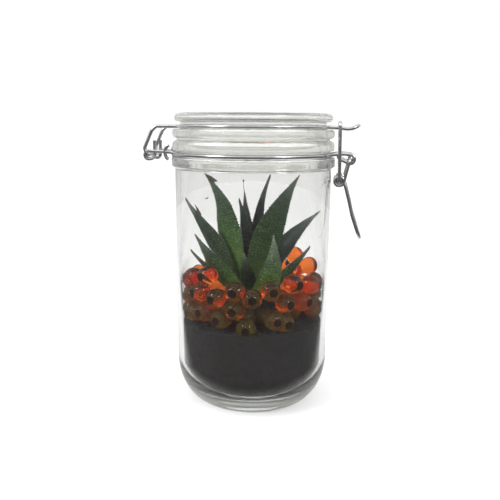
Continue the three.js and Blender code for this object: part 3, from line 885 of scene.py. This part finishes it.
def grow_leaf(number, tier, azimuth, reach, height, width, taper, bow, twist, kink, green):
    """One leaf from its row of the table, with its run, width, back and greenness kept as attributes."""
    tier_height, tier_radius = tiers[tier]
    out = Vector((cos(radians(azimuth)), sin(radians(azimuth)), 0))
    up = Vector((0, 0, 1))
    side = up.cross(out)
    root = out * (min(tier_radius, 6) + 0.5) + up * tier_height
    tip = out * reach + up * height
    chord = tip - root
    under = -side.cross(chord).normalized()
    middle = root.lerp(tip, 0.5) - under * bow * chord.length * 2
    length = chord.length * (1 + 2 * bow * bow)
    rows = int(length / row_step)
    bpy.ops.mesh.primitive_grid_add(x_subdivisions=around, y_subdivisions=rows, size=2,
                                    calc_uvs=True)
    leaf = bpy.context.object
    leaf.name = f"leaf_{number:02d}"
    mesh = leaf.data
    marks = ("leaf_run", "leaf_across", "leaf_back", "leaf_green")
    for mark in marks:
        mesh.attributes.new(mark, "FLOAT", "POINT")
    run, across, back, lush = [mesh.attributes[mark].data for mark in marks]
    sections, halves = [], []
    for i in range(rows + 1):
        t = min(0.997, i / rows)
        spine = root * (1 - t) ** 2 + middle * 2 * t * (1 - t) + tip * t * t
        spine += out * kink * (max(0.0, t - kink_start) / (1 - kink_start)) ** kink_ease
        along = ((middle - root) * (1 - t) + (tip - middle) * t).normalized()
        face = along.cross(side).normalized()
        roll = radians(twist) * min(1.0, 2 * t)
        wide = side * cos(roll) + face * sin(roll)
        lift = along.cross(wide).normalized()
        half = width * (leaf_root_share + leaf_swell * t) * (1 - t) ** taper + leaf_tip_half
        half *= min(1.0, (1.01 - t) * 30)
        thick = max(leaf_thinnest, leaf_thickness * (1 - leaf_thinning * t))
        thick *= min(1.0, (1.01 - t) * 25)
        phase = (t * length / band_spacing) % 1
        bands = band_height * (1 - 0.5 * t) * max(0.0, sin(pi * phase)) ** 2
        teeth = tooth_length * phase ** 1.5 * (1 - t) ** 0.4
        sections.append([spine + wide * a + lift * l
                         for a, l in leaf_section(half, thick, leaf_hollow * half, bands, teeth)])
        halves.append(half)
    columns = {}
    for vertex in mesh.vertices:
        k = round((vertex.co.x + 1) / 2 * around)
        i = round((vertex.co.y + 1) / 2 * rows)
        columns[vertex.index] = (k, i)
        s, on_back = leaf_place(k)
        run[vertex.index].value = i / rows
        across[vertex.index].value = s
        back[vertex.index].value = 1.0 if on_back else 0.0
        lush[vertex.index].value = green
        vertex.co = sections[i][k % around] * MM
    leaf_map = mesh.uv_layers.active.data
    for polygon in mesh.polygons:
        middle_column = sum(columns[v][0] for v in polygon.vertices) / len(polygon.vertices)
        shift = back_shift if middle_column > around / 2 else 0.0
        for loop in polygon.loop_indices:
            k, i = columns[mesh.loops[loop].vertex_index]
            leaf_map[loop].uv = (shift + leaf_place(k)[0] * halves[i] / 10, i / rows * length / 10)
    bpy.ops.object.mode_set(mode="EDIT")
    bpy.ops.mesh.select_all(action="SELECT")
    bpy.ops.mesh.remove_doubles(threshold=1e-6)
    bpy.ops.mesh.select_all(action="DESELECT")
    bpy.ops.mesh.select_mode(type="EDGE")
    bpy.ops.mesh.select_non_manifold(extend=False)
    bpy.ops.mesh.select_mode(type="VERT")
    bpy.ops.mesh.edge_face_add()
    outward(leaf)
    smooth(leaf, 60)
    return leaf


def attribute(tree, name):
    """A named value that the piece's mesh carries."""
    node = tree.nodes.new("ShaderNodeAttribute")
    node.attribute_name = name
    return node.outputs["Fac"]


leaf_skin, tree, output = blank_material("leaf_skin")
shader = principled(tree, output, Coat_Weight=0.05, Coat_Roughness=0.4, Specular_IOR_Level=0.28)
lushness = attribute(tree, "leaf_green")
on_back = attribute(tree, "leaf_back")
run = maths(tree, "MULTIPLY_ADD", mottle(tree, 90, 4), 0.16, attribute(tree, "leaf_run"))
dry_point = (0.10, 0.075, 0.05)
dark_skin = ramp(tree, run, (0.06, (0.15, 0.18, 0.055)), (0.17, (0.05, 0.09, 0.024)),
                 (0.32, (0.008, 0.017, 0.008)), (0.62, (0.008, 0.015, 0.010)),
                 (0.88, (0.030, 0.044, 0.033)), (1.0, (0.085, 0.10, 0.085)), (1.0, dry_point))
green_skin = ramp(tree, run, (0.06, (0.36, 0.40, 0.11)), (0.22, (0.20, 0.38, 0.06)),
                  (0.5, (0.058, 0.14, 0.02)), (0.8, (0.030, 0.055, 0.026)), (1.0, (0.085, 0.105, 0.08)))
skin_tone = blend(tree, lushness, dark_skin, green_skin)
face_tone = ramp(tree, run, (0.1, (0.05, 0.07, 0.03)), (0.4, (0.020, 0.026, 0.024)),
                 (0.8, (0.038, 0.048, 0.044)), (1.0, (0.11, 0.12, 0.10)))
skin_tone = blend(tree, on_back, blend(tree, 0.7, skin_tone, face_tone), skin_tone)
leaf_uv = tree.nodes.new("ShaderNodeUVMap").outputs["UV"]
row_scale = tree.nodes.new("ShaderNodeMapping")
row_scale.inputs["Scale"].default_value = (7.5, 14 / band_spacing, 1)
dots = tree.nodes.new("ShaderNodeTexVoronoi")
dots.inputs["Scale"].default_value = 1
dots.inputs["Randomness"].default_value = 0.85
wire_up(tree, (leaf_uv, row_scale.inputs["Vector"]),
        (row_scale.outputs["Vector"], dots.inputs["Vector"]))
dot_mask = maths(tree, "MULTIPLY", on_back,
                 ramp(tree, dots.outputs["Distance"], (0.18, grey(1.0)), (0.4, grey(0.0))))
uv_parts = tree.nodes.new("ShaderNodeSeparateXYZ")
wire_up(tree, (leaf_uv, uv_parts.inputs[0]))
wavy_run = maths(tree, "MULTIPLY_ADD", mottle(tree, 200, 3), 0.3, uv_parts.outputs["Y"])
band_wave = maths(tree, "SINE", maths(tree, "MULTIPLY", 20 * pi / band_spacing, wavy_run))
band_break = ramp(tree, mottle(tree, 330, 2), (0.4, grey(0.0)), (0.6, grey(1.0)))
band_mask = maths(tree, "MULTIPLY", maths(tree, "MULTIPLY", on_back, band_break),
                  ramp(tree, band_wave, (0.3, grey(0.0)), (0.95, grey(1.0))))
raised = maths(tree, "MAXIMUM", dot_mask, maths(tree, "MULTIPLY", band_mask, 0.48))
tubercles = maths(tree, "MULTIPLY", raised, maths(tree, "MULTIPLY_ADD", lushness, 0.2, 0.6))
tubercles = maths(tree, "MULTIPLY", tubercles, ramp(tree, run, (0.35, grey(1.0)), (0.8, grey(0.4))))
pale_skin = blend(tree, lushness, (0.09, 0.115, 0.08), (0.34, 0.50, 0.17))
skin_tone = blend(tree, tubercles, skin_tone, pale_skin)
# Painted shade: the skin darkens towards the plant's axis, where the leaves shade each other, and less
# so on the greener leaves.
painted_core_shade = ramp(tree, reach_on(tree), (0.16, grey(0.45)), (0.42, grey(1.0)))
painted_core_shade_share = maths(tree, "MULTIPLY_ADD", lushness, -0.7, 1.0)
skin_tone = blend(tree, painted_core_shade_share, skin_tone, painted_core_shade, "MULTIPLY")
margin = maths(tree, "ABSOLUTE", attribute(tree, "leaf_across"))
skin_tone = blend(tree, ramp(tree, margin, (0.93, grey(0.0)), (1.0, grey(0.22))), skin_tone,
                  (0.20, 0.25, 0.15))
wire_up(tree, (skin_tone, shader.inputs["Base Color"]),
        (varied(tree, mottle(tree, 500, 3), grey(0.45), grey(0.62)), shader.inputs["Roughness"]))
relief(tree, raised, 0.00025, shader, 0.8)
for number, values in enumerate(leaves, 1):
    leaf = grow_leaf(number, *values)
    leaf.data.materials.append(leaf_skin)
    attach(leaf, "jar")
    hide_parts(f"haworthia_leaf_{number:02d}")


# Withered ends: where a leaf has died back it is a dry grey-brown strand. Leaf 13 ends in one with a
# knob, leaf 12 has a spur, and leaf 14 a dead corner. The points are (x, y, z, radius) from the front.
dry_strands = [
    [(-5.8, 15.6, 138.6, 0.4), (-6.2, 15.4, 141.5, 0.2), (-6.5, 15.2, 144.6, 0.14),
     (-6.5, 15.2, 146.2, 0.2), (-6.5, 15.2, 146.7, 0.75), (-6.5, 15.2, 147.4, 0.6),
     (-6.5, 15.2, 147.8, 0.1)],
    [(-34.6, 1.8, 124.6, 1.0), (-36.4, 1.2, 128.4, 0.7), (-38.2, 0.6, 132.0, 0.1)],
    [(-29.6, -5.4, 151.2, 0.9), (-27.2, -5.8, 149.4, 1.5), (-24.6, -5.8, 148.0, 1.1),
     (-22.4, -5.8, 147.6, 0.1)],
]
withered = strand("withered_ends", [
    ([(*seen_from_front(x, y, z), radius) for x, y, z, radius in points], False)
    for points in dry_strands
], half=1, roundness=2, crisp=60)
dry_leaf, tree, output = blank_material("dry_leaf")
shader = principled(tree, output, Roughness=0.8)
wire_up(tree, (varied(tree, mottle(tree, 700, 4), (0.035, 0.035, 0.028), (0.11, 0.10, 0.075)),
               shader.inputs["Base Color"]))
withered.data.materials.append(dry_leaf)
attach(withered, "jar")


# Soil crumbs: loose crumbs of the potting mix on its surface, and a few dried specks of it left on
# the inside of the glass at planting. A speck is (azimuth, height, half width, half height).
crumb_count = 170
crumb_nearest = 7.2
crumb_farthest = 44.5
level_soil = 57.4
glass_specks = [
    (-116.8, 138.8, 0.9, 0.35), (-146.6, 147.1, 0.5, 0.3), (-147.4, 146.2, 0.3, 0.3),
    (-102.9, 126.0, 0.3, 0.5), (-102.4, 125.0, 0.25, 0.25), (-115.6, 139.5, 0.35, 0.3),
]
speck_reach = 46.45
bpy.ops.mesh.primitive_ico_sphere_add(subdivisions=2, radius=MM)
clod = bpy.context.object
clod_mesh = clod.data
for vertex in clod_mesh.vertices:
    vertex.co *= 1 + 0.5 * noise.noise(vertex.co * 1400)
soil_top = [(27, 57.8), (20, 64), (12, 67), (6.6, 67.5)]


def soil_height(reach):
    """The height of the soil's surface at a distance from the axis."""
    if reach >= soil_top[0][0]:
        return level_soil
    for (far, low), (near, high) in zip(soil_top, soil_top[1:]):
        if reach >= near:
            return high + (low - high) * (reach - near) / (far - near)
    return soil_top[-1][1]


crumb_spots = []
for _ in range(crumb_count):
    reach = sqrt(chance.uniform(crumb_nearest ** 2, crumb_farthest ** 2))
    turn = chance.uniform(0, 2 * pi)
    size = chance.uniform(0.4, 1.3)
    crumb_spots.append(
        Matrix.Translation(Vector((reach * cos(turn), reach * sin(turn), soil_height(reach))) * MM)
        @ Matrix.Rotation(chance.uniform(0, 2 * pi), 4, "Z")
        @ Matrix.Diagonal((size * chance.uniform(0.7, 1.4), size, size * 0.7, 1)))
for azimuth, height, wide, tall in glass_specks:
    turn = radians(azimuth)
    crumb_spots.append(
        Matrix.Translation(Vector((speck_reach * cos(turn), speck_reach * sin(turn), height)) * MM)
        @ Matrix.Rotation(turn, 4, "Z") @ Matrix.Diagonal((0.1, wide, tall, 1)))
crumbs = scatter("soil_crumbs", clod_mesh, crumb_spots)
bpy.data.objects.remove(clod)
crumbs.data.materials.append(potting_soil)
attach(crumbs, "jar")
